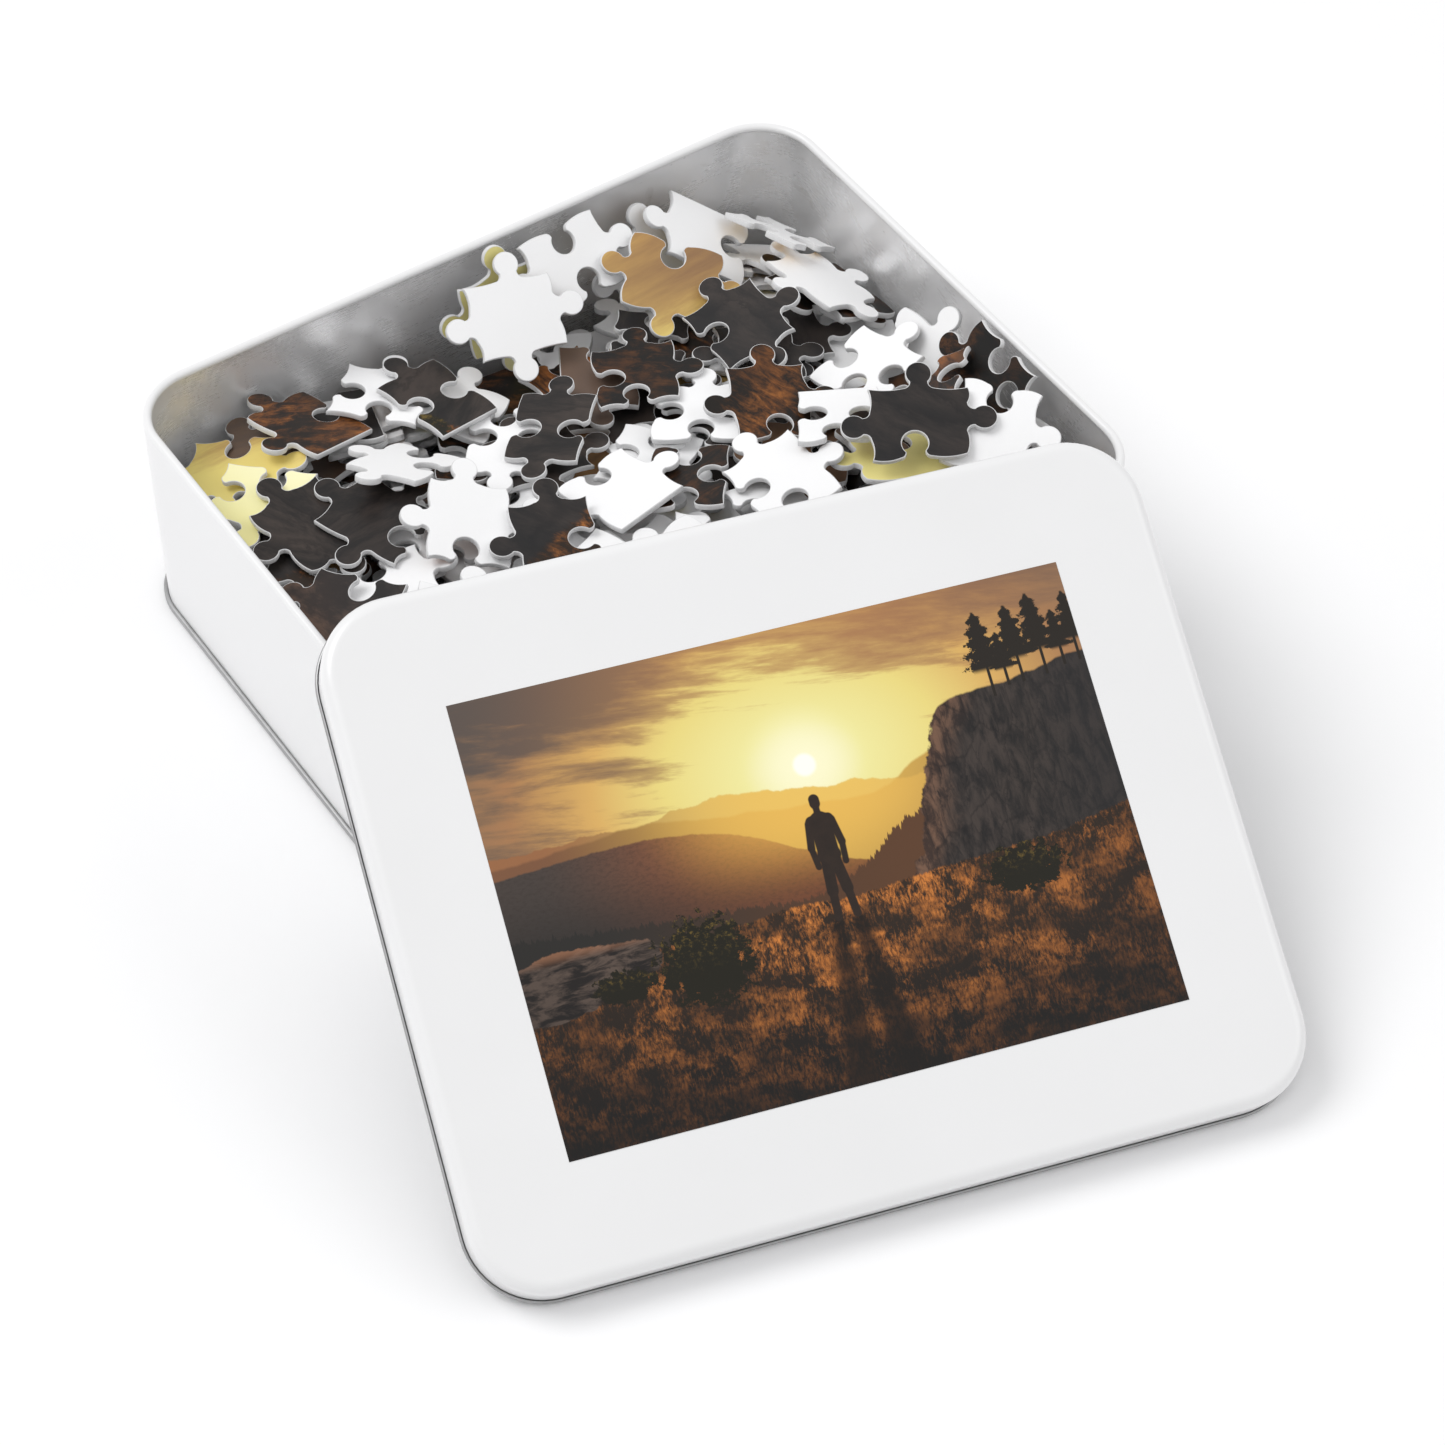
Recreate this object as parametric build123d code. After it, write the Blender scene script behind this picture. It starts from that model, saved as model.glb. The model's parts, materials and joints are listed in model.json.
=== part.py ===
from build123d import *
import math
import os

import numpy as np

# A boxed jigsaw puzzle: a rounded rectangular tin full of die-cut card pieces, and its slip lid,
# which stands on the ground in front of the tin and leans back on the tin's rim.
# Millimetres. Origin: middle of the tin's underside. +X along the long side, +Y to the back, +Z up.

# ---------------------------------------------------------------- driving sizes: the tin
TIN_LENGTH = 190.0
TIN_WIDTH = 155.4
TIN_HEIGHT = 60.9
TIN_CORNER = 16.7
SHEET = 0.4                 # tinplate thickness
RIM_RADIUS = 1.1            # outside radius of the curl rolled inwards at the mouth
RIM_TURN = 285              # degrees that the curl turns through
SEAM_OUT = 1.1              # how far the bottom seam stands out of the wall
SEAM_HEIGHT = 1.9
SEAM_ROUND = 0.45           # rounding of the seam's section
FIT_GAP = 0.02              # between the wall and the bottom that is seamed on to it
LAP_WIDTH = 5.0             # side seam of the rolled wall, in the middle of the back
LAP_RISE = 0.3
LAP_ABOVE_SEAM = 0.4        # the lap starts this far over the bottom seam
LAP_BELOW_RIM = 2.75        # and ends this far under the mouth

# ---------------------------------------------------------------- driving sizes: the lid
LID_CLEARANCE = 0.25        # between the tin's wall and the lid's skirt, each side
LID_DEPTH = 11.8
LID_FILLET = 3.0            # outside radius between the lid's panel and its skirt
HEM_RADIUS = 0.6            # outside radius of the hem rolled outwards at the skirt's edge
HEM_TURN = 260              # degrees that the hem turns through
LABEL_LENGTH = 141.8
LABEL_WIDTH = 102.8
LABEL_THICKNESS = 0.15
LABEL_SHIFT = -0.6          # the label sits a little towards the lid's front

# Where the lid leans: heading and tilt in degrees, and its panel's centre on the ground plan.
LID_HEADING = -16.2
LID_TILT = 27.85
LID_X = -29.6
LID_Y = -119.9

# ---------------------------------------------------------------- driving sizes: the puzzle
COLUMNS = 24
ROWS = 21
SKY_ROW = 17                # rows from here up are sky, and the rows below it are land
PITCH_X = 23.0
PITCH_Y = 19.0
CARD = 1.5
CORNER_WANDER = 0.7         # how far the die's cut crossings stray from a plain grid
NECK_HALF = 2.25            # half width of a tab's neck
HEAD_RADIUS = 3.15          # radius of a tab's head
HEAD_REACH = 3.9            # distance of the head's centre from the side's line
SHOULDER = 1.5              # run of the small arc between the side and the neck
SHOULDER_SAG = 0.25         # how hollow that arc is, as a share of its run
TAB_SLIDE = 1.3             # how far a tab strays from the middle of its side
BOW_LEAST = 0.25            # how far a side bends, from this
BOW_MOST = 0.8              # to this

# ---------------------------------------------------------------- how the heap settles
CELL = 0.6                  # size of the height map's square cells
SAMPLE = 0.4                # distance between the points that stand for a piece
AIR = 0.12                  # clear height left between pieces
MAX_SLOPE = 0.75            # steepest rise of a piece lying on the others
TRIES = 34                  # places looked at for each piece; the one with most room under it wins
WALL_AIR = 0.7              # clear of the tin's wall
DROP_INSET = 9.0            # pieces drop in with their middles at least this far inside the tin
HEAP_HEIGHT = 50.0          # height the heap is filled to at the front left
FALL_RIGHT = 2.0            # how much lower it is at the right
FALL_BACK = 12.0            # at the back
FALL_CORNER = 3.0           # and more again in the corner between them
LEAN_AFTER = 0.84           # share of the heap that is in before the leaning pieces
NUDGES = 24                 # places tried round each hand-placed piece; it settles in the lowest
NUDGE_REACH = 3.0           # how far those places stray
NUDGE_TURN = 2.0            # degrees that the piece turns for each millimetre of reach
SLIDE_STEP = 0.25           # a leaning piece slides to its wall in steps this long
LAYERS = 8
LIFT_PIECES = 12            # most pieces with nothing above them that get a node of their own
LIFT_ROOM = 20.0            # such a piece's middle is at least this far clear of the lid's edge

rng = np.random.default_rng(504)

# ---------------------------------------------------------------- the pieces that lie on top
# x, y, heading of the long side in degrees, look. They settle in this order, lowest first.
TOP_PIECES = [
    (-79, 62, -43, "sky"), (-74, 41, -52, "glow"), (-66, 0, -15, "back"), (-80, -2, -58, "land"),
    (63, 65, -37, "back"), (46, 52, -41, "sky"), (80, 31, 95, "back"), (-57, 59, -77, "land"),
    (-37, 57, -48, "back"), (4, 62, -10, "back"), (13, -11, 53, "land"), (53, -36, -30, "glow"),
    (-25, 47, -77, "land"), (79, 51, 104, "back"), (-72, 27, 99, "land"), (-58, 16, -66, "land"),
    (74, -21, -40, "land"), (24, 7, -30, "back"), (52, 31, 90, "land"), (43, 2, 65, "land"),
    (23, 28, 62, "land"), (-46, 29, 20, "back"), (-5, 22, 41, "land"), (-45, 6, 63, "back"),
    (-3, -6, -78, "back"), (67, -4, -78, "back"), (26, -27, 86, "back"), (48, -19, 57, "back"),
    (76, -41, 46, "back"), (-31, -9, 68, "land"), (-8, -30, 20, "back"), (-62, -22, -30, "back"),
    (60, -32, -34, "land"),
]
# x, y, heading, lean in degrees from flat, look: pieces propped against the back and right walls.
LEANING_PIECES = [
    (46, 72, 4, 62, "back"), (9, 72, -3, 66, "glow"), (22, 70, 8, 40, "back"),
    (88, -5, -84, 46, "back"), (90, -26, -92, 50, "land"), (90, -50, -80, 40, "back"),
]


# ---------------------------------------------------------------- sheet metal
def ring(section, length, width, corner):
    """Carry a section round a rounded rectangle. In the section, x is the distance out of the
    rectangle's line and y is the height."""
    upright = Plane.XZ * section
    half_x = length / 2 - corner
    half_y = width / 2 - corner
    turn = revolve(Pos(corner, 0, 0) * upright, Axis.Z, 90)
    side = extrude(Pos(length / 2, half_y, 0) * upright, 2 * half_y, dir=(0, -1, 0))
    end = Rot(0, 0, 90) * extrude(Pos(width / 2, half_x, 0) * upright, 2 * half_x, dir=(0, -1, 0))
    runs = [side, end, Rot(0, 0, 180) * side, Rot(0, 0, 180) * end]
    corners = [(half_x, half_y, 0), (-half_x, half_y, 90), (-half_x, -half_y, 180), (half_x, -half_y, 270)]
    turns = [Pos(x, y, 0) * Rot(0, 0, angle) * turn for x, y, angle in corners]
    whole = runs[0]
    for piece in runs[1:] + turns:
        whole = whole + piece
    return whole


def polar(centre, radius, angle):
    turn = math.radians(angle)
    return (centre[0] + radius * math.cos(turn), centre[1] + radius * math.sin(turn))


def curl_section(base, centre, radius, start, end):
    """A sheet that stands on height base and ends in a curl about centre, from start to end degrees."""
    middle = (start + end) / 2
    inner = radius - SHEET
    outer_start = polar(centre, radius, start)
    inner_start = polar(centre, inner, start)
    edges = [
        Line((outer_start[0], base), outer_start),
        ThreePointArc(outer_start, polar(centre, radius, middle), polar(centre, radius, end)),
        Line(polar(centre, radius, end), polar(centre, inner, end)),
        ThreePointArc(polar(centre, inner, end), polar(centre, inner, middle), inner_start),
        Line(inner_start, (inner_start[0], base)),
        Line((inner_start[0], base), (outer_start[0], base)),
    ]
    return make_face(edges)


def tin_wall():
    """Rolled wall: one sheet with a curl at the mouth and a lapped seam up the back."""
    centre = (-RIM_RADIUS, TIN_HEIGHT - RIM_RADIUS)
    section = curl_section(SHEET + FIT_GAP, centre, RIM_RADIUS, 0, RIM_TURN)
    wall = ring(section, TIN_LENGTH, TIN_WIDTH, TIN_CORNER)
    lap_base = SEAM_HEIGHT + LAP_ABOVE_SEAM
    lap_height = TIN_HEIGHT - LAP_BELOW_RIM - lap_base
    lap = Box(LAP_WIDTH, LAP_RISE + SHEET / 2, lap_height)
    lap_y = TIN_WIDTH / 2 + (LAP_RISE - SHEET / 2) / 2
    return wall + Pos(0, lap_y, lap_base + lap_height / 2) * lap


def tin_bottom():
    """Flat bottom with its edge rolled up round the foot of the wall as a seam."""
    grown = TIN_CORNER + SEAM_OUT / 2
    panel = extrude(RectangleRounded(TIN_LENGTH + SEAM_OUT, TIN_WIDTH + SEAM_OUT, grown), SHEET)
    wide = SEAM_OUT - FIT_GAP
    bead = Pos(FIT_GAP + wide / 2, SEAM_HEIGHT / 2) * RectangleRounded(wide, SEAM_HEIGHT, SEAM_ROUND)
    return panel + ring(bead, TIN_LENGTH, TIN_WIDTH, TIN_CORNER)


def lid_place():
    """Where the lid leans. Its hem's lower edge stands on the ground."""
    tilt = math.radians(LID_TILT)
    heading = math.radians(LID_HEADING)
    hem_reach = skirt_width() / 2 + HEM_RADIUS - SHEET
    height = HEM_RADIUS + (LID_DEPTH - HEM_RADIUS) * math.cos(tilt) + hem_reach * math.sin(tilt)
    across = (math.cos(heading), math.sin(heading), 0)
    normal = (math.sin(heading) * math.sin(tilt), -math.cos(heading) * math.sin(tilt), math.cos(tilt))
    return Plane(origin=(LID_X, LID_Y, height), x_dir=across, z_dir=normal)


def skirt_length():
    return TIN_LENGTH + 2 * (LID_CLEARANCE + SHEET)


def skirt_width():
    return TIN_WIDTH + 2 * (LID_CLEARANCE + SHEET)


def pressed_pan(inset):
    """The lid's drawn form, shrunk by inset: a rounded plate with its upper edge rounded over."""
    corner = TIN_CORNER + LID_CLEARANCE + SHEET - inset
    plate = RectangleRounded(skirt_length() - 2 * inset, skirt_width() - 2 * inset, corner)
    block = Pos(0, 0, -LID_DEPTH + HEM_RADIUS) * extrude(plate, LID_DEPTH - HEM_RADIUS - inset)
    return fillet(block.faces().sort_by(Axis.Z)[-1].edges(), LID_FILLET - inset)


def lid_shell():
    """Drawn lid: flat panel, rounded edge, skirt and a hem rolled outwards."""
    shell = pressed_pan(0) - pressed_pan(SHEET)
    centre = (HEM_RADIUS - SHEET, HEM_RADIUS - LID_DEPTH)
    inner = HEM_RADIUS - SHEET
    start, middle, end = 180, 180 + HEM_TURN / 2, 180 + HEM_TURN
    hem = make_face([
        Line(polar(centre, HEM_RADIUS, start), polar(centre, inner, start)),
        ThreePointArc(polar(centre, inner, start), polar(centre, inner, middle), polar(centre, inner, end)),
        Line(polar(centre, inner, end), polar(centre, HEM_RADIUS, end)),
        ThreePointArc(polar(centre, HEM_RADIUS, end), polar(centre, HEM_RADIUS, middle),
                      polar(centre, HEM_RADIUS, start)),
    ])
    rolled = ring(hem, skirt_length(), skirt_width(), TIN_CORNER + LID_CLEARANCE + SHEET)
    return lid_place().location * (shell + rolled)


def lid_label():
    """Thin printed panel on the lid, showing the finished picture."""
    label = Pos(0, LABEL_SHIFT, 0) * extrude(Rectangle(LABEL_LENGTH, LABEL_WIDTH), LABEL_THICKNESS)
    return lid_place().location * label


# ---------------------------------------------------------------- the cut of the puzzle
def side_arcs(start, end, tab, slide, bow):
    """One cut from start to end, as arcs of three points each. tab is +1 for a tab to the left of the
    line, -1 for one to the right and 0 for the picture's straight border. slide moves the tab along
    the side and bow bends the side's two straight parts."""
    start = np.array(start)
    end = np.array(end)
    length = float(np.hypot(*(end - start)))
    along = (end - start) / length
    aside = np.array((-along[1], along[0])) * (tab or 1)

    def at(run, rise):
        return start + along * run + aside * rise

    if tab == 0:
        return [(start, end)]
    middle = length / 2 + slide
    neck_rise = HEAD_REACH - math.sqrt(HEAD_RADIUS ** 2 - NECK_HALF ** 2)
    left = middle - NECK_HALF
    right = middle + NECK_HALF
    foot_left = left - SHOULDER
    foot_right = right + SHOULDER
    waist = SHOULDER_SAG * SHOULDER
    return [
        (start, at(foot_left / 2, bow), at(foot_left, 0)),
        (at(foot_left, 0), at(left - waist, neck_rise / 3), at(left, neck_rise)),
        (at(left, neck_rise), at(middle, HEAD_REACH + HEAD_RADIUS), at(right, neck_rise)),
        (at(right, neck_rise), at(right + waist, neck_rise / 3), at(foot_right, 0)),
        (at(foot_right, 0), at((foot_right + length) / 2, bow), end),
    ]


def reversed_arcs(arcs):
    return [tuple(reversed(arc)) for arc in reversed(arcs)]


def cut_grid():
    """All the cuts of the puzzle: crossings, then each horizontal and vertical cut between them."""
    crossing = {}
    for row in range(ROWS + 1):
        for column in range(COLUMNS + 1):
            stray = rng.uniform(-CORNER_WANDER, CORNER_WANDER, 2)
            if column in (0, COLUMNS):
                stray[0] = 0
            if row in (0, ROWS):
                stray[1] = 0
            crossing[row, column] = (column * PITCH_X + stray[0], row * PITCH_Y + stray[1])
    cuts = {}
    for row in range(ROWS + 1):
        for column in range(COLUMNS):
            border = row in (0, ROWS)
            cuts["across", row, column] = random_cut(crossing[row, column], crossing[row, column + 1], border)
    for row in range(ROWS):
        for column in range(COLUMNS + 1):
            border = column in (0, COLUMNS)
            cuts["up", row, column] = random_cut(crossing[row, column], crossing[row + 1, column], border)
    return cuts


def random_cut(start, end, border):
    tab = 0 if border else int(rng.choice((-1, 1)))
    slide = rng.uniform(-TAB_SLIDE, TAB_SLIDE)
    bow = rng.choice((-1, 1)) * rng.uniform(BOW_LEAST, BOW_MOST)
    return side_arcs(start, end, tab, slide, bow)


def piece_arcs(cuts, row, column):
    """A piece's whole outline, anticlockwise, about its own middle."""
    arcs = cuts["across", row, column] + cuts["up", row, column + 1]
    arcs = arcs + reversed_arcs(cuts["across", row + 1, column]) + reversed_arcs(cuts["up", row, column])
    middle = np.array(((column + 0.5) * PITCH_X, (row + 0.5) * PITCH_Y))
    return [tuple(point - middle for point in map(np.array, arc)) for arc in arcs]


def arc_points(arc, spacing):
    """Points along one arc of an outline, without its last."""
    if len(arc) == 2:
        count = max(2, int(np.hypot(*(arc[1] - arc[0])) / spacing))
        return [arc[0] + (arc[1] - arc[0]) * step / count for step in range(count)]
    (ax, ay), (bx, by), (cx, cy) = arc
    double = 2 * (ax * (by - cy) + bx * (cy - ay) + cx * (ay - by))
    a2, b2, c2 = ax * ax + ay * ay, bx * bx + by * by, cx * cx + cy * cy
    ux = (a2 * (by - cy) + b2 * (cy - ay) + c2 * (ay - by)) / double
    uy = (a2 * (cx - bx) + b2 * (ax - cx) + c2 * (bx - ax)) / double
    radius = math.hypot(ax - ux, ay - uy)
    first = math.atan2(ay - uy, ax - ux)
    sweep = (math.atan2(cy - uy, cx - ux) - first) % (2 * math.pi)
    if (math.atan2(by - uy, bx - ux) - first) % (2 * math.pi) > sweep:
        sweep = sweep - 2 * math.pi
    count = max(2, int(abs(sweep) * radius / spacing))
    angles = [first + sweep * step / count for step in range(count)]
    return [np.array((ux + radius * math.cos(angle), uy + radius * math.sin(angle))) for angle in angles]


def inside(outline, points):
    """Which points are inside a closed outline, by counting crossings."""
    hit = np.zeros(len(points), bool)
    for (x1, y1), (x2, y2) in zip(outline, np.roll(outline, -1, axis=0)):
        spans = (y1 > points[:, 1]) != (y2 > points[:, 1])
        with np.errstate(divide="ignore", invalid="ignore"):
            cross = (x2 - x1) * (points[:, 1] - y1) / (y2 - y1) + x1
        hit ^= spans & (points[:, 0] < cross)
    return hit


def piece_samples(arcs):
    """Points that stand for a piece: its outline and a grid inside it."""
    outline = np.array([point for arc in arcs for point in arc_points(arc, SAMPLE)])
    low, high = outline.min(0), outline.max(0)
    grid = np.stack(np.meshgrid(np.arange(low[0], high[0], SAMPLE), np.arange(low[1], high[1], SAMPLE)), -1)
    grid = grid.reshape(-1, 2)
    return np.vstack([outline, grid[inside(outline, grid)]])


def piece_solid(arcs, pose):
    """The die-cut card of one piece, put where it lies. Its printed face is up in its own frame."""
    edges = [Line(*map(tuple, arc)) if len(arc) == 2 else ThreePointArc(*map(tuple, arc)) for arc in arcs]
    card = extrude(make_face(edges), CARD)
    return pose * card


# ---------------------------------------------------------------- the heap
class Heap:
    """A height map of the tin's inside, which grows as pieces settle on it."""

    def __init__(self):
        self.cells_x = int(TIN_LENGTH / CELL)
        self.cells_y = int(TIN_WIDTH / CELL) + 1
        self.height = np.full((self.cells_x, self.cells_y), SHEET + AIR)
        self.owner = np.full((self.cells_x, self.cells_y), -1)

    def cell(self, points):
        column = np.floor((points[:, 0] + TIN_LENGTH / 2) / CELL).astype(int)
        row = np.floor((points[:, 1] + TIN_WIDTH / 2) / CELL).astype(int)
        return column.clip(0, self.cells_x - 1), row.clip(0, self.cells_y - 1)

    def rest_height(self, points):
        """How far the points, whose heights are relative, must rise to clear the heap."""
        column, row = self.cell(points)
        return float((self.height[column, row] - points[:, 2]).max())

    def add(self, points, number):
        """Raise the map over a settled piece, one cell wider than the piece itself."""
        column, row = self.cell(points)
        top = points[:, 2] + AIR
        for step_x in (-1, 0, 1):
            for step_y in (-1, 0, 1):
                near_x = (column + step_x).clip(0, self.cells_x - 1)
                near_y = (row + step_y).clip(0, self.cells_y - 1)
                np.maximum.at(self.height, (near_x, near_y), top)
        self.owner[column, row] = number


def room_inside(points, margin):
    """True if every point is inside the tin's rounded wall by at least margin."""
    half_x = TIN_LENGTH / 2 - SHEET - margin
    half_y = TIN_WIDTH / 2 - SHEET - margin
    corner = TIN_CORNER - SHEET - margin
    over_x = np.abs(points[:, 0]) - (half_x - corner)
    over_y = np.abs(points[:, 1]) - (half_y - corner)
    reach = np.hypot(over_x.clip(0), over_y.clip(0))
    return bool((reach < corner).all())


def support_plane(points, heights):
    """Slopes of the plane that a flat body with its middle at 0, 0 settles on: the lowest plane, at
    the middle, that is above every point. Three far, low points start it, and the point furthest
    above the plane replaces one of the three until none is above it."""
    far, low = 400.0, -4000.0
    plan = np.vstack([points, [(0, far), (-far, -far), (far, -far)]])
    level = np.concatenate([heights, [low, low, low]])
    legs = [len(points), len(points) + 1, len(points) + 2]
    for _ in range(60):
        system = np.column_stack([plan[legs], np.ones(3)])
        if abs(np.linalg.det(system)) < 1e-9:
            return None
        slope_x, slope_y, middle = np.linalg.solve(system, level[legs])
        above = heights - (points @ np.array((slope_x, slope_y)) + middle)
        worst = int(above.argmax())
        if above[worst] < 1e-6:
            return slope_x, slope_y
        for swap in range(3):
            trial = legs[:swap] + [worst] + legs[swap + 1:]
            if surrounds_origin(plan[trial]):
                legs = trial
                break
        else:
            return None
    return None


def surrounds_origin(triangle):
    (ax, ay), (bx, by), (cx, cy) = triangle
    turns = (ax * by - ay * bx, bx * cy - by * cx, cx * ay - cy * ax)
    return min(turns) >= -1e-9 or max(turns) <= 1e-9


def turned(heading, slope_x, slope_y):
    """Rotation whose third axis is normal to the plane with these slopes, and whose first axis has
    this heading on the ground plan."""
    normal = np.array((-slope_x, -slope_y, 1.0))
    normal = normal / np.linalg.norm(normal)
    angle = math.radians(heading)
    along = np.array((math.cos(angle), math.sin(angle), 0.0))
    along[2] = slope_x * along[0] + slope_y * along[1]
    along = along / np.linalg.norm(along)
    return np.column_stack([along, np.cross(normal, along), normal])


def leaned(heading, lean):
    """Rotation of a card turned to a heading and tipped up about its own first axis."""
    turn, tip = math.radians(heading), math.radians(lean)
    along = np.array((math.cos(turn), math.sin(turn), 0.0))
    up = np.array((-math.sin(turn) * math.cos(tip), math.cos(turn) * math.cos(tip), math.sin(tip)))
    return np.column_stack([along, up, np.cross(along, up)])


def both_faces(samples, frame):
    """A piece's sample points in a frame, on its lower and its upper face."""
    lower = np.column_stack([samples, np.zeros(len(samples))])
    upper = np.column_stack([samples, np.full(len(samples), CARD)])
    return np.vstack([lower, upper]) @ frame.T


def settle(heap, samples, x, y, heading):
    """Lay a piece down at x, y. Returns its rotation, place and points, or None if it can't lie there."""
    flat = samples @ turned(heading, 0, 0)[:2, :2].T
    spot = np.column_stack([flat + (x, y), np.zeros(len(flat))])
    if not room_inside(spot, WALL_AIR):
        return None
    column, row = heap.cell(spot)
    slopes = support_plane(flat, heap.height[column, row])
    if slopes is None or math.hypot(*slopes) > MAX_SLOPE:
        return None
    frame = turned(heading, *slopes)
    points = both_faces(samples, frame) + (x, y, 0)
    if not room_inside(points, WALL_AIR):
        return None
    rise = heap.rest_height(points)
    points[:, 2] += rise
    return frame, np.array((x, y, rise)), points


def prop(heap, samples, x, y, heading, lean):
    """Stand a piece up against the nearest wall: it slides outwards until it meets the wall."""
    frame = leaned(heading, lean)
    points = both_faces(samples, frame) + (x, y, 0)
    outwards = frame[:2, 1] / np.linalg.norm(frame[:2, 1])
    margin = RIM_RADIUS * 2 + WALL_AIR
    shift = 0.0
    while room_inside(points + (*(outwards * (shift + SLIDE_STEP)), 0), margin):
        shift += SLIDE_STEP
    while not room_inside(points + (*(outwards * shift), 0), margin):
        shift -= SLIDE_STEP
    points[:, :2] += outwards * shift
    rise = heap.rest_height(points)
    points[:, 2] += rise
    x, y = np.array((x, y)) + outwards * shift
    return frame, np.array((x, y, rise)), points


def wanted_height(x, y):
    """The heap is near the rim at the front left and lowest in the back right corner."""
    right = x / TIN_LENGTH + 0.5
    back = y / TIN_WIDTH + 0.5
    return HEAP_HEIGHT - FALL_RIGHT * right - FALL_BACK * back - FALL_CORNER * right * back


def under_lid(x, y):
    """True where the leaning lid is overhead, with room for a piece to pass its edge."""
    heading = math.radians(LID_HEADING)
    up_slope = (x - LID_X) * -math.sin(heading) + (y - LID_Y) * math.cos(heading)
    return up_slope < skirt_width() / 2 * math.cos(math.radians(LID_TILT)) + LIFT_ROOM


def pose_of(frame, place, face_up):
    """The location of a piece's own frame. A piece with its printed face down is turned over."""
    along, normal = frame[:, 0], frame[:, 2]
    if face_up:
        return Plane(origin=tuple(place), x_dir=tuple(along), z_dir=tuple(normal)).location
    return Plane(origin=tuple(place + normal * CARD), x_dir=tuple(along), z_dir=tuple(-normal)).location


def look_of(row, face_up):
    if not face_up:
        return "back"
    return "land" if row < SKY_ROW else "sky"


def fill_tin():
    """Tip the puzzle into the tin. Returns the heap and, in the order they went in, what is known of
    each piece: its outline, pose, look, stage, place, highest point and the map's cells it covers."""
    cuts = cut_grid()
    order = [(row, column) for row in range(ROWS) for column in range(COLUMNS)]
    rng.shuffle(order)
    order = [tuple(cell) for cell in order]
    heap = Heap()
    settled = []
    looks = [piece[-1] for piece in LEANING_PIECES + TOP_PIECES]
    bright = sum(look in ("sky", "glow") for look in looks)
    kept_sky = [cell for cell in order if cell[0] >= SKY_ROW][:bright]
    kept_land = [cell for cell in order if cell[0] < SKY_ROW][:len(looks) - bright]
    base = [cell for cell in order if cell not in kept_land and cell not in kept_sky]

    def take(look):
        return kept_sky.pop() if look in ("sky", "glow") else kept_land.pop()

    def keep(cell, arcs, found, look, stage):
        frame, place, points = found
        heap.add(points, len(settled))
        pose = pose_of(frame, place, look != "back")
        settled.append({"arcs": arcs, "pose": pose, "look": look, "stage": stage, "place": place,
                        "top": points[:, 2].max(), "cells": heap.cell(points), "points": points})

    def samples_for(cell, face_up):
        arcs = piece_arcs(cuts, *cell)
        samples = piece_samples(arcs)
        return arcs, samples if face_up else samples * (1, -1)

    def add_leaning():
        for x, y, heading, lean, look in LEANING_PIECES:
            cell = take(look)
            arcs, samples = samples_for(cell, look != "back")
            spots = (x, y) + rng.uniform(-NUDGE_REACH, NUDGE_REACH, (NUDGES, 2))
            found = [prop(heap, samples, *spot, heading, lean) for spot in spots]
            keep(cell, arcs, min(found, key=lambda option: option[1][2]), look, "leaning")

    heap_count = len(base)
    for cell in base:
        if len(settled) == int(heap_count * LEAN_AFTER):
            add_leaning()
        face_up = bool(rng.random() < 0.5)
        arcs, samples = samples_for(cell, face_up)
        best = None
        for _ in range(TRIES):
            x = rng.uniform(DROP_INSET - TIN_LENGTH / 2, TIN_LENGTH / 2 - DROP_INSET)
            y = rng.uniform(DROP_INSET - TIN_WIDTH / 2, TIN_WIDTH / 2 - DROP_INSET)
            found = settle(heap, samples, x, y, rng.uniform(0, 360))
            if found and (best is None or found[1][2] - wanted_height(x, y) < best[0]):
                best = (found[1][2] - wanted_height(x, y), found)
        if best is None:
            base.append(cell)
            continue
        keep(cell, arcs, best[1], look_of(cell[0], face_up), "heap")

    for x, y, heading, look in TOP_PIECES:
        cell = take(look)
        arcs, samples = samples_for(cell, look != "back")
        found = []
        stray = NUDGE_REACH
        while not found:
            shifts = rng.uniform(-stray, stray, (NUDGES, 3))
            laid = [settle(heap, samples, x + shift[0], y + shift[1], heading + NUDGE_TURN * shift[2])
                    for shift in shifts]
            found = [option for option in laid if option]
            stray += 1.0
        keep(cell, arcs, min(found, key=lambda option: option[1][2]), look, "top")
    return heap, settled


def name_nodes(heap, settled):
    """Give each piece the name of its node: its layer and look, or its own where it can lift out."""
    heaped = sorted((entry for entry in settled if entry["stage"] == "heap"), key=lambda e: e["top"])
    for rank, entry in enumerate(heaped):
        layer = 1 + rank * LAYERS // len(heaped)
        entry["node"] = f"heap_layer_{layer}_{entry['look']}"
    for entry in settled:
        if entry["stage"] != "heap":
            entry["node"] = f"{entry['stage']}_pieces_{entry['look']}"
    loose = 0
    for number in reversed(range(len(settled))):
        entry = settled[number]
        bare = (heap.owner[entry["cells"]] == number).all()
        lid_clear = not under_lid(*entry["place"][:2])
        rim_clear = room_inside(entry["points"], 2 * RIM_RADIUS + AIR)
        can_lift = entry["stage"] != "leaning" and bare and lid_clear and rim_clear
        if can_lift and loose < LIFT_PIECES:
            loose += 1
            entry["node"] = f"loose_piece_{loose:02d}_{entry['look']}"


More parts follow.
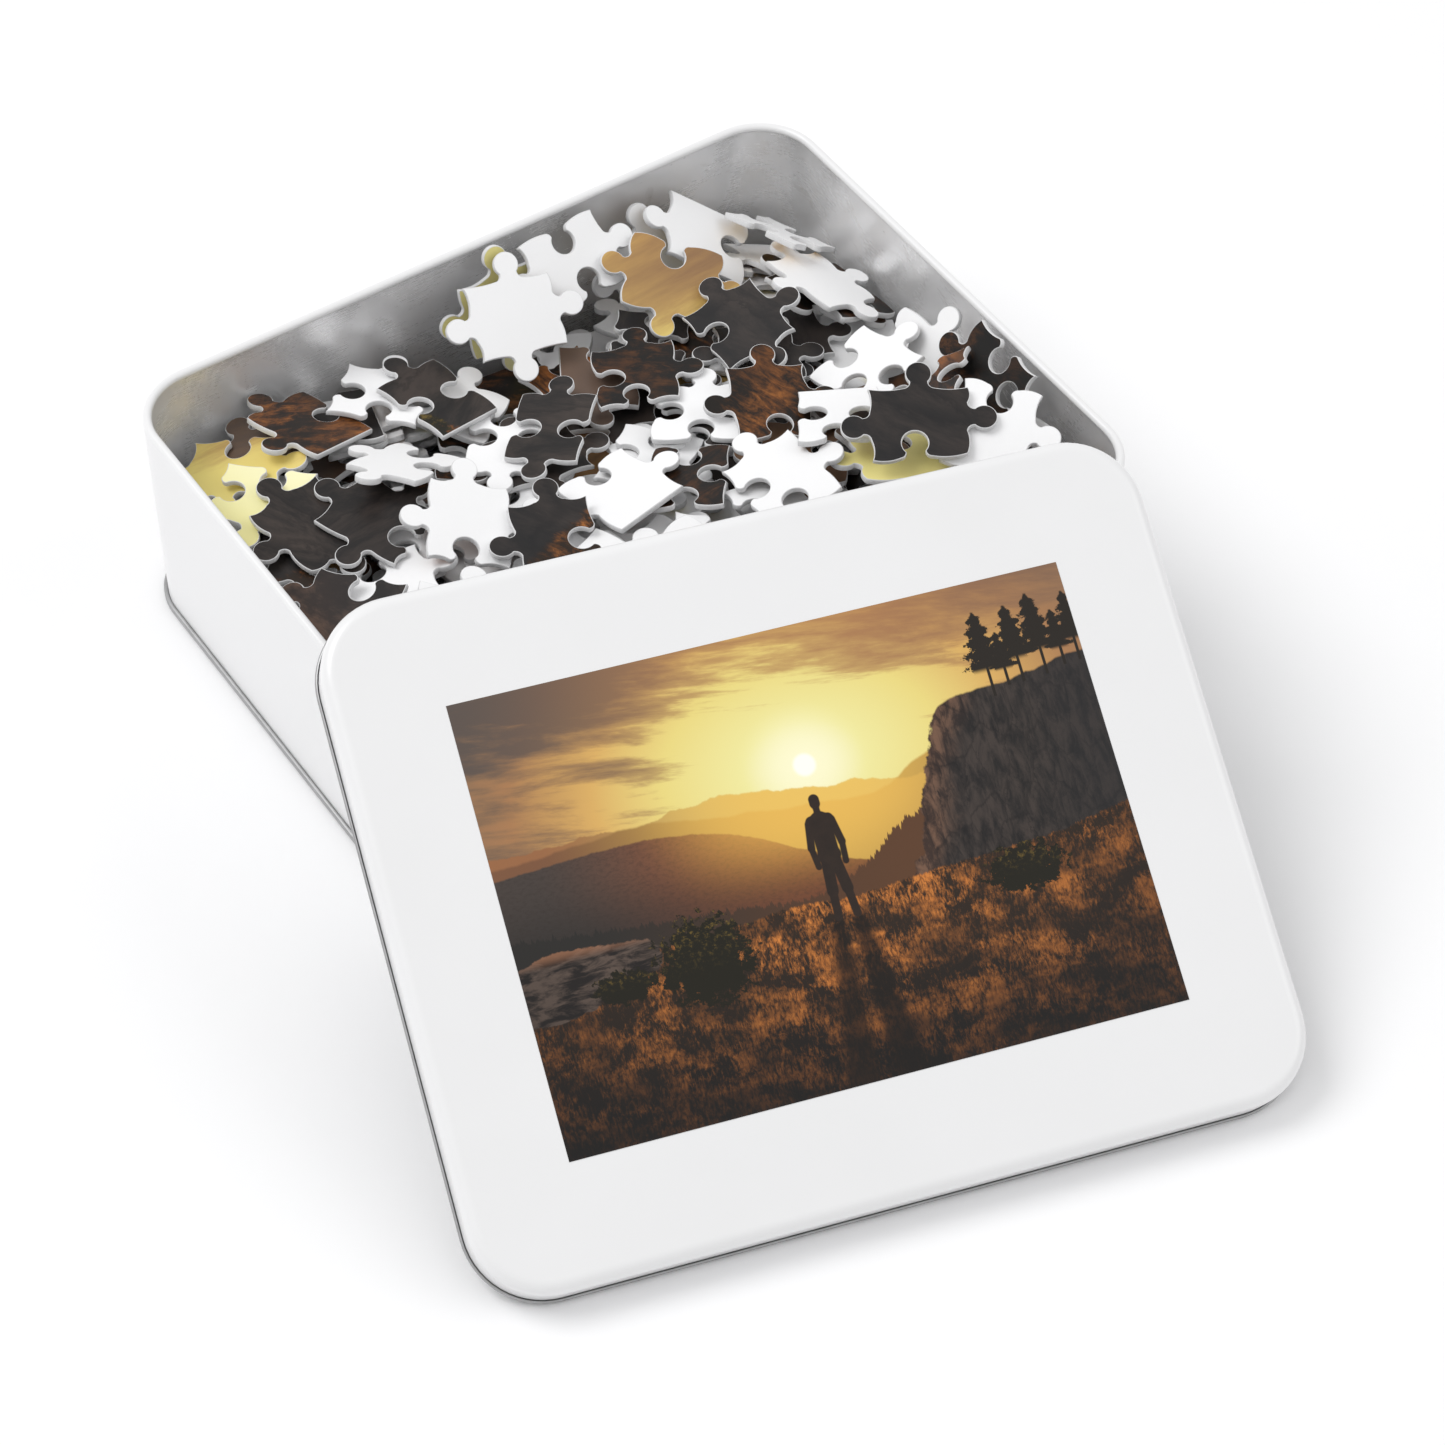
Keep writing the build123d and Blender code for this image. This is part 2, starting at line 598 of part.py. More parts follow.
def main():
    os.makedirs("parts", exist_ok=True)
    solids = {
        "tin_wall": [tin_wall()],
        "tin_bottom": [tin_bottom()],
        "lid_shell": [lid_shell()],
        "lid_label": [lid_label()],
    }
    heap, settled = fill_tin()
    name_nodes(heap, settled)
    for entry in settled:
        solids.setdefault(entry["node"], []).append(piece_solid(entry["arcs"], entry["pose"]))
    for node, shapes in sorted(solids.items()):
        whole = shapes[0] if len(shapes) == 1 else Compound(children=shapes)
        export_step(whole, f"parts/{node}.step")
        print(node, len(shapes))
    print("pieces", len(settled), "highest", round(max(entry["top"] for entry in settled), 1))
    gap = solids["tin_wall"][0].distance_to(solids["lid_shell"][0])
    print("lid to rim gap", round(gap, 3))


main()
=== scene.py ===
import json
import math
import random

import bmesh
import bpy
from mathutils import Matrix, Vector


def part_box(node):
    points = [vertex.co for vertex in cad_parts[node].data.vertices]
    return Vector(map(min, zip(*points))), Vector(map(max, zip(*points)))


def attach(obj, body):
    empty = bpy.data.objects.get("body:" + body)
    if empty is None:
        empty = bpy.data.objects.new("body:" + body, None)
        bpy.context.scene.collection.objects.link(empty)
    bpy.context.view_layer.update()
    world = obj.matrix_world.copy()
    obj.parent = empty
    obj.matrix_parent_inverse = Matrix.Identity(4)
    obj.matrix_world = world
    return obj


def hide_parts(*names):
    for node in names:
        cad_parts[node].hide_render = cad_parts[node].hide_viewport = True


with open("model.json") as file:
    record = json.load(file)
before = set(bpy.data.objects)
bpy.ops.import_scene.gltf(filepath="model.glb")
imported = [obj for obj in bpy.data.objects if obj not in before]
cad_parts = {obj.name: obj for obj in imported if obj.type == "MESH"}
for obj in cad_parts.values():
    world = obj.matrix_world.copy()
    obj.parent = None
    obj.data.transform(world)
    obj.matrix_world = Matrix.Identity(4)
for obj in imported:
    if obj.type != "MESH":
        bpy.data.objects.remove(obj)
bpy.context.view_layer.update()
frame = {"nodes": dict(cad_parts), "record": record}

MM = 0.001
PICTURE_ASPECT = 1.38           # the printed picture's width over its height
PUZZLE_WIDTH = 552 * MM         # the finished puzzle


def srgb(red, green, blue):
    """Linear colour of an 8-bit display colour."""
    def linear(value):
        value = value / 255
        return value / 12.92 if value <= 0.04045 else ((value + 0.055) / 1.055) ** 2.4
    return (linear(red), linear(green), linear(blue), 1.0)


# ---------------------------------------------------------------- node graphs
class Graph:
    """Short calls that add nodes to a tree and return their output sockets."""

    def __init__(self, tree):
        self.tree = tree

    def node(self, kind, inputs=None, **settings):
        made = self.tree.nodes.new(kind)
        for name, value in settings.items():
            setattr(made, name, value)
        for key, value in (inputs or {}).items():
            self.feed(made.inputs[key], value)
        return made

    def feed(self, socket, value):
        if isinstance(value, bpy.types.NodeSocket):
            self.tree.links.new(value, socket)
        else:
            socket.default_value = value

    def math(self, operation, first, second=0.0, third=0.0, clamp=False):
        made = self.node("ShaderNodeMath", operation=operation, use_clamp=clamp)
        for socket, value in zip(made.inputs, (first, second, third)):
            self.feed(socket, value)
        return made.outputs[0]

    def add(self, first, second):
        return self.math("ADD", first, second)

    def less(self, first, second):
        return self.math("SUBTRACT", first, second)

    def times(self, first, second):
        return self.math("MULTIPLY", first, second)

    def vector(self, operation, first, second=None, scale=None):
        made = self.node("ShaderNodeVectorMath", operation=operation)
        self.feed(made.inputs[0], first)
        if second is not None:
            self.feed(made.inputs[1], second)
        if scale is not None:
            self.feed(made.inputs["Scale"], scale)
        single = operation in ("LENGTH", "DOT_PRODUCT", "DISTANCE")
        return made.outputs["Value" if single else "Vector"]

    def combine(self, x, y, z=0.0):
        return self.node("ShaderNodeCombineXYZ", {"X": x, "Y": y, "Z": z}).outputs[0]

    def split(self, vector):
        return self.node("ShaderNodeSeparateXYZ", {0: vector}).outputs

    def noise(self, vector, scale, detail=3.0, roughness=0.5, distortion=0.0):
        made = self.node("ShaderNodeTexNoise", {"Vector": vector, "Scale": scale, "Detail": detail,
                                                "Roughness": roughness, "Distortion": distortion})
        return made.outputs["Fac"]

    def ease(self, value, start, end):
        """0 below start, 1 above end and smooth between. start may be the larger."""
        made = self.node("ShaderNodeMapRange", {"Value": value, "From Min": start, "From Max": end},
                         interpolation_type="SMOOTHSTEP")
        return made.outputs["Result"]

    def mix(self, factor, first, second):
        made = self.node("ShaderNodeMix", data_type="RGBA")
        self.feed(made.inputs[0], factor)
        self.feed(made.inputs[6], first)
        self.feed(made.inputs[7], second)
        return made.outputs[2]

    def ramp(self, value, stops):
        """Colours along a value: stops are (position, colour)."""
        made = self.node("ShaderNodeValToRGB", {"Fac": value})
        band = made.color_ramp
        while len(band.elements) < len(stops):
            band.elements.new(1.0)
        for element, (position, colour) in zip(band.elements, stops):
            element.position = position
            element.color = colour
        return made.outputs["Color"]

    def profile(self, value, points):
        """A smooth curve through points, as a function of value from 0 to 1."""
        made = self.node("ShaderNodeFloatCurve", {"Value": value})
        curve = made.mapping.curves[0]
        while len(curve.points) < len(points):
            curve.points.new(0.5, 0.5)
        for point, place in zip(curve.points, points):
            point.location = place
            point.handle_type = "AUTO_CLAMPED"
        made.mapping.update()
        return made.outputs["Value"]


# ---------------------------------------------------------------- the printed picture
# Places on the picture are (u, v), each from 0 to 1, with v upwards.
SUN = (0.516 * PICTURE_ASPECT, 0.694, 0)
SKY_TONES = [(0.0, srgb(243, 242, 206)), (0.12, srgb(238, 231, 158)), (0.28, srgb(232, 214, 128)),
             (0.42, srgb(216, 172, 98)), (0.58, srgb(168, 122, 82)), (0.80, srgb(110, 94, 84))]
# Ridges and edges, as points that a smooth curve runs through.
FAR_RIDGE = [(0, 0.655), (0.18, 0.648), (0.36, 0.668), (0.6, 0.63), (1, 0.60)]
NEAR_RIDGE = [(0, 0.63), (0.25, 0.645), (0.42, 0.62), (0.6, 0.60), (0.7, 0.655), (1, 0.72)]
HILL_TOP = [(0, 0.606), (0.2, 0.618), (0.32, 0.604), (0.4, 0.572), (0.48, 0.516), (0.58, 0.46),
            (1, 0.40)]
WOOD_TOP = [(0, 0.47), (0.2, 0.442), (0.36, 0.425), (0.46, 0.412), (0.56, 0.452), (0.66, 0.535),
            (1, 0.55)]
CLIFF_TOP = [(0, 0.5), (0.72, 0.72), (0.76, 0.757), (0.87, 0.771), (1, 0.80)]
CLIFF_LEFT = [(0, 0.60), (0.40, 0.642), (0.52, 0.676), (0.60, 0.688), (0.68, 0.716), (0.76, 0.75),
              (1, 0.8)]         # the only one that gives u for each v
GRASS_TOP = [(0, 0.37), (0.2, 0.385), (0.34, 0.39), (0.45, 0.402), (0.53, 0.392), (0.62, 0.402),
             (0.72, 0.41), (0.86, 0.42), (1, 0.452)]
# Pines on the cliff: u and v of the foot, and height.
PINES = [(0.842, 0.754, 0.182), (0.869, 0.766, 0.115), (0.894, 0.770, 0.165), (0.934, 0.775, 0.175),
         (0.966, 0.782, 0.120), (0.992, 0.787, 0.150)]
# Boulders: centre, half width and half height, and how fine their ragged edge is.
BOULDERS = [((0.09, 0.375), (0.13, 0.052), 9), ((0.035, 0.315), (0.085, 0.032), 12)]
# Bushes: centre, half width and half height.
BUSHES = [((0.285, 0.335), (0.072, 0.092)), ((0.81, 0.365), (0.062, 0.05)),
          ((0.155, 0.325), (0.05, 0.035))]
# Line segments of the small figure seen from behind: start, end and half width.
FIGURE = [
    ((0.5145, 0.616), (0.5145, 0.607), 0.0118), ((0.5145, 0.60), (0.5145, 0.585), 0.0075),
    ((0.501, 0.570), (0.528, 0.570), 0.0125), ((0.5145, 0.566), (0.5145, 0.505), 0.0235),
    ((0.496, 0.566), (0.490, 0.515), 0.0085), ((0.490, 0.515), (0.4935, 0.472), 0.0070),
    ((0.533, 0.566), (0.5395, 0.515), 0.0085), ((0.5395, 0.515), (0.5375, 0.472), 0.0070),
    ((0.508, 0.492), (0.521, 0.492), 0.0172), ((0.508, 0.485), (0.504, 0.415), 0.0128),
    ((0.504, 0.415), (0.502, 0.358), 0.0092), ((0.521, 0.485), (0.528, 0.415), 0.0128),
    ((0.528, 0.415), (0.532, 0.358), 0.0092),
]
# Shadows of the figure's legs: start, end and half width at the feet.
SHADOWS = [((0.499, 0.35), (0.47, 0.0), 0.014), ((0.533, 0.35), (0.548, 0.0), 0.016)]


class Picture:
    """The sunset over hills that is printed on the puzzle and on the lid.

    It is painted from back to front: each method paints over the colour that the ones before it
    made. place is (u * PICTURE_ASPECT, v), so that lengths are the same in both directions.
    """

    def __init__(self, graph, source):
        self.graph = graph
        self.u, self.v, _ = graph.split(source)
        self.place = graph.vector("MULTIPLY", source, (PICTURE_ASPECT, 1, 1))
        self.flat = graph.vector("MULTIPLY", self.place, (1, 0, 0))
        self.sun_distance = graph.vector("DISTANCE", self.place, SUN)
        self.colour = None

    def paint(self, cover, tone):
        """Lay a tone over the picture as far as cover says, from 0 to 1."""
        self.colour = self.graph.mix(cover, self.colour, tone)

    def paint_below(self, ridge, tone, soft=0.0025):
        """Lay a tone over everything below a ridge line."""
        self.paint(self.graph.ease(self.graph.less(ridge, self.v), -soft, soft), tone)

    def rough_line(self, points, scale, height, detail=5, roughness=0.55):
        """The smooth curve through points, made jagged: a v for each u."""
        graph = self.graph
        jag = graph.less(graph.noise(self.flat, scale, detail, roughness), 0.5)
        return graph.add(graph.profile(self.u, points), graph.times(jag, height))

    def segment_distance(self, start, end):
        """Distance to a line segment."""
        graph = self.graph
        start = Vector((start[0] * PICTURE_ASPECT, start[1], 0))
        run = Vector((end[0] * PICTURE_ASPECT, end[1], 0)) - start
        offset = graph.vector("SUBTRACT", self.place, tuple(start))
        along = graph.vector("DOT_PRODUCT", offset, tuple(run / run.length_squared))
        along = graph.math("MULTIPLY", along, 1.0, clamp=True)
        nearest = graph.vector("SCALE", tuple(run), scale=along)
        return graph.vector("LENGTH", graph.vector("SUBTRACT", offset, nearest))

    def blob(self, centre, size, ragged, scale):
        """1 inside an ellipse with a ragged edge."""
        graph = self.graph
        offset = graph.vector("SUBTRACT", self.place, (centre[0] * PICTURE_ASPECT, centre[1], 0))
        shrunk = graph.vector("DIVIDE", offset, (size[0] * PICTURE_ASPECT, size[1], 1))
        rough = graph.times(graph.less(graph.noise(self.place, scale, 6, 0.7), 0.5), ragged)
        return graph.ease(graph.add(graph.vector("LENGTH", shrunk), rough), 1.04, 0.96)

    def sky(self):
        """Yellow round the sun, brown away from it, with long bands of cloud."""
        graph, u, place, sun_distance = self.graph, self.u, self.place, self.sun_distance
        from_sun = graph.vector("SUBTRACT", place, SUN)
        spread = graph.vector("LENGTH", graph.vector("MULTIPLY", from_sun, (0.9, 1.25, 1)))
        self.colour = graph.ramp(spread, SKY_TONES)
        skewed = graph.vector("ADD", graph.vector("MULTIPLY", place, (1.15, 6.2, 1)),
                              graph.combine(0.0, graph.times(u, 1.1)))
        billow = graph.noise(skewed, 2.3, 10, 0.62, 0.25)
        wisps = graph.noise(graph.vector("MULTIPLY", skewed, (1, 1.6, 1)), 5.5, 6, 0.6, 0.3)
        billow = graph.add(graph.times(billow, 0.8), graph.times(wisps, 0.2))
        cover = graph.add(graph.times(graph.ease(self.v, 0.72, 1.0), 0.24),
                          graph.times(graph.ease(u, 0.55, 0.05), 0.10))
        cover = graph.less(cover, graph.times(graph.ease(sun_distance, 0.40, 0.05), 0.16))
        cloud = graph.ease(graph.add(billow, cover), 0.545, 0.66)
        core = graph.ease(graph.add(billow, cover), 0.60, 0.80)
        shade = graph.mix(graph.ease(u, 0.0, 0.55), srgb(86, 78, 74), srgb(164, 116, 80))
        shade = graph.mix(graph.ease(u, 0.62, 1.0), shade, srgb(128, 98, 78))
        lit = graph.mix(0.6, srgb(212, 156, 92), self.colour)
        self.paint(graph.times(cloud, 0.92), graph.mix(core, graph.mix(0.5, lit, shade), shade))
        halo = graph.times(graph.ease(sun_distance, 0.15, 0.02), 0.8)
        self.paint(halo, srgb(252, 248, 208))
        self.paint(graph.ease(sun_distance, 0.030, 0.019), srgb(255, 254, 244))

    def hills(self):
        """Two far ridges and the near hill, with the sun's haze over them."""
        graph, u, v = self.graph, self.u, self.v
        warm = graph.ease(self.sun_distance, 0.62, 0.05)
        far = self.rough_line(FAR_RIDGE, 7, 0.07)
        self.paint_below(far, graph.mix(warm, srgb(150, 102, 68), srgb(228, 200, 108)))
        near = self.rough_line(NEAR_RIDGE, 5, 0.05)
        self.paint_below(near, graph.mix(warm, srgb(122, 84, 60), srgb(220, 178, 84)), 0.004)
        slope = graph.mix(graph.ease(u, 0.05, 0.52), srgb(70, 62, 58), srgb(166, 96, 52))
        low_slope = graph.mix(graph.ease(u, 0.1, 0.5), srgb(52, 48, 46), srgb(112, 68, 46))
        slope = graph.mix(graph.ease(v, 0.60, 0.42), slope, low_slope)
        trees = graph.noise(graph.vector("MULTIPLY", self.place, (1, 1.7, 1)), 85, 4, 0.7)
        slope = graph.mix(graph.times(graph.ease(trees, 0.4, 0.7), 0.35), slope, srgb(48, 40, 36))
        self.paint_below(self.rough_line(HILL_TOP, 26, 0.012, 4, 0.7), slope)
        haze = graph.times(graph.ease(self.sun_distance, 0.42, 0.12), graph.ease(v, 0.40, 0.60))
        haze = graph.times(haze, graph.ease(graph.less(far, v), -0.003, 0.004))
        self.paint(graph.times(haze, 0.6), srgb(236, 186, 88))

    def wood(self):
        """The dark wood at the hill's foot."""
        across = self.graph.ease(self.u, 0.1, 0.66)
        tone = self.graph.mix(across, srgb(44, 42, 40), srgb(92, 62, 42))
        self.paint_below(self.rough_line(WOOD_TOP, 62, 0.075, 3, 0.8), tone)

    def cliff(self):
        """The cliff on the right, cracked into blocks, with its lit left edge."""
        graph, u, v, place = self.graph, self.u, self.v, self.place
        cracks = graph.noise(graph.vector("MULTIPLY", place, (3.0, 1.0, 1)), 15, 8, 0.68, 0.4)
        edge_jag = graph.times(graph.less(graph.noise(place, 16, 5, 0.6), 0.5), 0.06)
        inward = graph.less(u, graph.add(graph.profile(v, CLIFF_LEFT), edge_jag))
        below_top = graph.less(self.rough_line(CLIFF_TOP, 14, 0.03), v)
        on_cliff = graph.times(graph.ease(inward, -0.003, 0.003),
                               graph.ease(below_top, -0.003, 0.003))
        skewed = graph.vector("ADD", graph.vector("MULTIPLY", place, (2.6, 0.9, 1)),
                              graph.combine(graph.times(cracks, 0.12), graph.times(edge_jag, 0.9)))
        seams = graph.node("ShaderNodeTexVoronoi", {"Vector": skewed, "Scale": 8.5},
                           feature="DISTANCE_TO_EDGE").outputs["Distance"]
        rock = graph.mix(graph.ease(cracks, 0.35, 0.65), srgb(34, 32, 32), srgb(66, 58, 54))
        lit_rock = graph.mix(graph.ease(cracks, 0.40, 0.62), srgb(60, 45, 39), srgb(118, 88, 70))
        rock = graph.mix(graph.ease(inward, 0.07, 0.0), rock, lit_rock)
        rock = graph.mix(graph.times(graph.ease(seams, 0.05, 0.0), 0.45), rock, srgb(24, 22, 23))
        rock = graph.mix(graph.ease(u, 0.82, 1.0), rock, graph.mix(0.5, rock, srgb(40, 40, 42)))
        self.paint(on_cliff, rock)

    def pine(self, pine_u, foot, height):
        """A pine with ragged tiers of needles and a bare foot."""
        graph = self.graph
        rise = graph.math("DIVIDE", graph.less(self.v, foot), height)
        aside = graph.math("ABSOLUTE", graph.times(graph.less(self.u, pine_u), PICTURE_ASPECT))
        needles = graph.noise(graph.vector("ADD", self.place, (pine_u * 7, 0, 0)), 44, 5, 0.8)
        tiers = graph.times(graph.math("SINE", graph.times(rise, 44.0)), 0.22)
        taper = graph.math("POWER", graph.math("MAXIMUM", graph.less(1.0, rise), 0.0), 0.62)
        ragged = graph.add(graph.add(graph.times(needles, 2.6), tiers), -0.45)
        half = graph.times(graph.times(taper, 0.32 * height), ragged)
        crown = graph.ease(graph.less(half, aside), -0.002, 0.002)
        crown = graph.times(crown, graph.ease(rise, 0.22, 0.30))
        trunk = graph.times(graph.ease(aside, 0.0042, 0.0025), graph.ease(rise, 0.9, 0.8))
        shape = graph.times(graph.math("MAXIMUM", crown, trunk), graph.ease(rise, -0.08, -0.06))
        self.paint(graph.times(shape, graph.ease(rise, 1.0, 0.97)), srgb(38, 33, 28))

    def grass(self):
        """The grass slope, brightest near its top and its middle."""
        graph, v, place = self.graph, self.v, self.place
        blades = graph.noise(graph.vector("MULTIPLY", place, (2.6, 0.9, 1)), 60, 5, 0.75, 0.6)
        tufts = graph.noise(place, 13, 6, 0.68, 0.3)
        fringe = graph.times(graph.less(graph.noise(self.flat, 120, 4, 0.8), 0.5), 0.022)
        light = graph.add(graph.times(graph.ease(v, -0.2, 0.42), 0.90),
                          graph.times(graph.ease(v, 0.30, 0.42), 0.30))
        off_middle = graph.math("ABSOLUTE", graph.less(self.u, 0.52))
        light = graph.times(light, graph.less(1.15, graph.times(off_middle, 0.9)))
        hollows = graph.noise(graph.vector("MULTIPLY", place, (1, 2.4, 1)), 6, 3, 0.6)
        hollows = graph.add(graph.times(graph.ease(hollows, 0.38, 0.62), 0.75), 0.35)
        light = graph.times(light, hollows)
        grain = graph.add(graph.times(tufts, 0.62), graph.times(blades, 0.46))
        shine = graph.times(graph.ease(grain, 0.48, 0.68), light)
        straw = graph.mix(blades, srgb(158, 78, 30), srgb(232, 150, 72))
        tone = graph.mix(graph.ease(v, 0.0, 0.4), srgb(24, 22, 21), srgb(46, 35, 27))
        tone = graph.mix(graph.math("MINIMUM", shine, 1.0), tone, straw)
        self.paint_below(graph.add(self.rough_line(GRASS_TOP, 24, 0.02), fringe), tone, 0.003)

    def boulders(self):
        """Layered stones with lit tops, in the grass on the left."""
        graph = self.graph
        strata = graph.noise(graph.vector("MULTIPLY", self.place, (1, 3.2, 1)), 13, 7, 0.65, 0.5)
        stone = graph.mix(graph.ease(strata, 0.40, 0.60), srgb(34, 30, 29), srgb(92, 78, 70))
        lit = graph.times(graph.ease(self.v, 0.40, 0.43), 0.6)
        stone = graph.mix(lit, stone, srgb(168, 118, 88))
        for centre, size, scale in BOULDERS:
            self.paint(self.blob(centre, size, 0.9, scale), stone)

    def bushes(self):
        """Dark bushes with lit leaves towards their tops."""
        graph = self.graph
        for centre, size in BUSHES:
            leaf = graph.noise(self.place, 75, 5, 0.75)
            above = graph.ease(self.v, centre[1] - size[1] * 0.4, centre[1] + size[1])
            lit_leaf = graph.times(graph.ease(leaf, 0.50, 0.68), above)
            green = graph.mix(lit_leaf, srgb(30, 28, 19), srgb(112, 92, 42))
            self.paint(self.blob(centre, size, 2.4, 44), green)

    def figure(self):
        """The small figure with its back to the viewer, and the shadows of its legs."""
        graph, v = self.graph, self.v
        for start, end, half in SHADOWS:
            spread = graph.add(graph.times(graph.less(0.36, v), 0.06), half)
            dark = graph.ease(graph.less(self.segment_distance(start, end), spread), 0.012, -0.012)
            dark = graph.times(dark, graph.ease(v, 0.37, 0.34))
            self.paint(graph.times(dark, 0.82), srgb(26, 21, 18))
        body = None
        for start, end, half in FIGURE:
            limb = graph.less(self.segment_distance(start, end), half)
            body = limb if body is None else graph.math("SMOOTH_MIN", body, limb, 0.004)
        cloth = graph.mix(graph.noise(self.place, 40, 2, 0.5), srgb(36, 29, 26), srgb(52, 40, 33))
        self.paint(graph.ease(body, 0.0015, -0.0015), cloth)

    def dark_corners(self):
        """Darken the foot and the lower sides of the picture."""
        graph, v = self.graph, self.v
        foot = graph.times(graph.ease(v, 0.26, -0.04), 0.42)
        sides = graph.ease(graph.math("ABSOLUTE", graph.less(self.u, 0.5)), 0.25, 0.62)
        sides = graph.times(graph.times(sides, graph.ease(v, 0.6, 0.1)), 0.6)
        self.paint(graph.math("MAXIMUM", foot, sides), srgb(23, 22, 22))


def picture_group():
    """The picture as a node group that gives the colour at a place (u, v)."""
    tree = bpy.data.node_groups.new("sunset_picture", "ShaderNodeTree")
    tree.interface.new_socket("Place", in_out="INPUT", socket_type="NodeSocketVector")
    tree.interface.new_socket("Color", in_out="OUTPUT", socket_type="NodeSocketColor")
    graph = Graph(tree)
    picture = Picture(graph, tree.nodes.new("NodeGroupInput").outputs[0])
    picture.sky()
    picture.hills()
    picture.wood()
    picture.cliff()
    for pine in PINES:
        picture.pine(*pine)
    picture.grass()
    picture.boulders()
    picture.bushes()
    picture.figure()
    picture.dark_corners()
    graph.feed(tree.nodes.new("NodeGroupOutput").inputs[0], picture.colour)
    return tree


# ---------------------------------------------------------------- materials
def material(name, build):
    """A material whose Principled inputs come from build(graph, place), place in metres."""
    made = bpy.data.materials.new(name)
    made.use_nodes = True
    graph = Graph(made.node_tree)
    shader = made.node_tree.nodes["Principled BSDF"]
    place = graph.node("ShaderNodeTexCoord").outputs["Object"]
    for socket, value in build(graph, place).items():
        graph.feed(shader.inputs[socket], value)
    return made


def bump(graph, height, strength, distance):
    """A normal that shows height as relief of the given distance in metres."""
    return graph.node("ShaderNodeBump", {"Height": height, "Strength": strength,
                                         "Distance": distance}).outputs["Normal"]


def grey(graph, value, dark, light):
    """A very slightly cool grey between dark and light."""
    return graph.mix(value, (dark, dark, dark * 1.005, 1), (light, light, light * 1.01, 1))


def lacquer(graph, place):
    """Satin white lacquer on tinplate: even, with a faint orange peel."""
    cloud = graph.noise(place, 22, 4, 0.6)
    peel = graph.noise(place, 1400, 2, 0.5)
    rough = graph.add(graph.times(cloud, 0.10), 0.27)
    return {"Base Color": grey(graph, cloud, 0.80, 0.845), "Roughness": rough,
            "Normal": bump(graph, peel, 0.12, 0.00004), "Coat Weight": 0.25, "Coat Roughness": 0.2}


def tinplate(graph, place):
    """Bare tinplate: cloudy satin metal with fine rolling lines along its height."""
    cloud = graph.noise(place, 34, 5, 0.6, 0.8)
    grain = graph.noise(graph.vector("MULTIPLY", place, (1, 1, 14)), 420, 3, 0.7)
    stain = graph.noise(graph.vector("ADD", place, (3, 1, 2)), 48, 4, 0.55, 1.4)
    stain = graph.times(graph.ease(stain, 0.60, 0.68), 0.2)
    tone = graph.mix(stain, grey(graph, cloud, 0.82, 0.94), (0.50, 0.48, 0.46, 1))
    rough = graph.add(graph.times(cloud, 0.18), graph.add(graph.times(grain, 0.06), 0.16))
    return {"Base Color": tone, "Metallic": 0.42, "Roughness": rough,
            "Normal": bump(graph, graph.add(cloud, graph.times(grain, 0.15)), 0.22, 0.0006)}


def bare_edge(graph, place):
    """Bare rolled edge of the sheet, dull and a little dark."""
    wear = graph.noise(place, 260, 4, 0.7)
    return {"Base Color": grey(graph, wear, 0.30, 0.52), "Metallic": 0.85,
            "Roughness": graph.add(graph.times(wear, 0.2), 0.34)}


def board_back(graph, place):
    """White board back with paper fibre."""
    fibre = graph.noise(place, 2600, 4, 0.7)
    cloud = graph.noise(place, 55, 3, 0.5)
    tone = graph.add(graph.times(fibre, 0.5), graph.times(cloud, 0.5))
    return {"Base Color": grey(graph, tone, 0.89, 0.96), "Roughness": 0.52,
            "Normal": bump(graph, fibre, 0.18, 0.00005), "Coat Weight": 0.08}


def board_edge(graph, place):
    """Die-cut side of the card: pressed layers of fibre."""
    fibre = graph.noise(place, 3800, 4, 0.75)
    burr = graph.noise(place, 500, 3, 0.6)
    tone = grey(graph, graph.add(graph.times(fibre, 0.6), graph.times(burr, 0.4)), 0.58, 0.84)
    return {"Base Color": tone, "Roughness": 0.75, "Normal": bump(graph, fibre, 0.35, 0.0001)}


def printed(picture):
    """The picture's node group as a satin print. Each mesh says where on it its points are."""
    def build(graph, place):
        where = graph.node("ShaderNodeAttribute", attribute_name="picture").outputs["Vector"]
        colour = graph.node("ShaderNodeGroup", {}, node_tree=picture)
        graph.feed(colour.inputs[0], where)
        fibre = graph.noise(place, 2400, 3, 0.6)
        smudge = graph.noise(place, 60, 3, 0.6)
        rough = graph.add(graph.times(smudge, 0.10), 0.30)
        return {"Base Color": colour.outputs[0], "Roughness": rough, "Specular IOR Level": 0.26,
                "Normal": bump(graph, fibre, 0.10, 0.00004)}
    return build


def buried_print(dark, light):
    """The print of pieces deep in the heap, which nothing shows: only its tones."""
    def build(graph, place):
        patch = graph.ease(graph.noise(place, 30, 4, 0.6), 0.4, 0.6)
        return {"Base Color": graph.mix(patch, dark, light), "Roughness": 0.35}
    return build


def floor_sheet(graph, place):
    """The white paper of the studio."""
    drift = graph.noise(place, 3, 3, 0.5)
    return {"Base Color": grey(graph, drift, 0.925, 0.935), "Roughness": 0.8}


# ---------------------------------------------------------------- sheet metal parts
RIM_BAND = 2.6 * MM             # lacquered band of the tin's inside, under its mouth
HEM_BAND = 1.25 * MM            # bare edge at the lid's hem
LID_HEADING = math.radians(-16.2)
LID_TILT = math.radians(27.85)
LACQUERED, BARE, ROLLED_EDGE = 0, 1, 2    # places in the lists of materials


def finish_faces(node, materials, choose):
    """Give each face of a CAD node the material whose place choose(centre, normal) gives."""
    piece = frame["nodes"][node]
    piece.data.materials.clear()
    for made in materials:
        piece.data.materials.append(made)
    for face in piece.data.polygons:
        face.material_index = choose(face.center, face.normal)


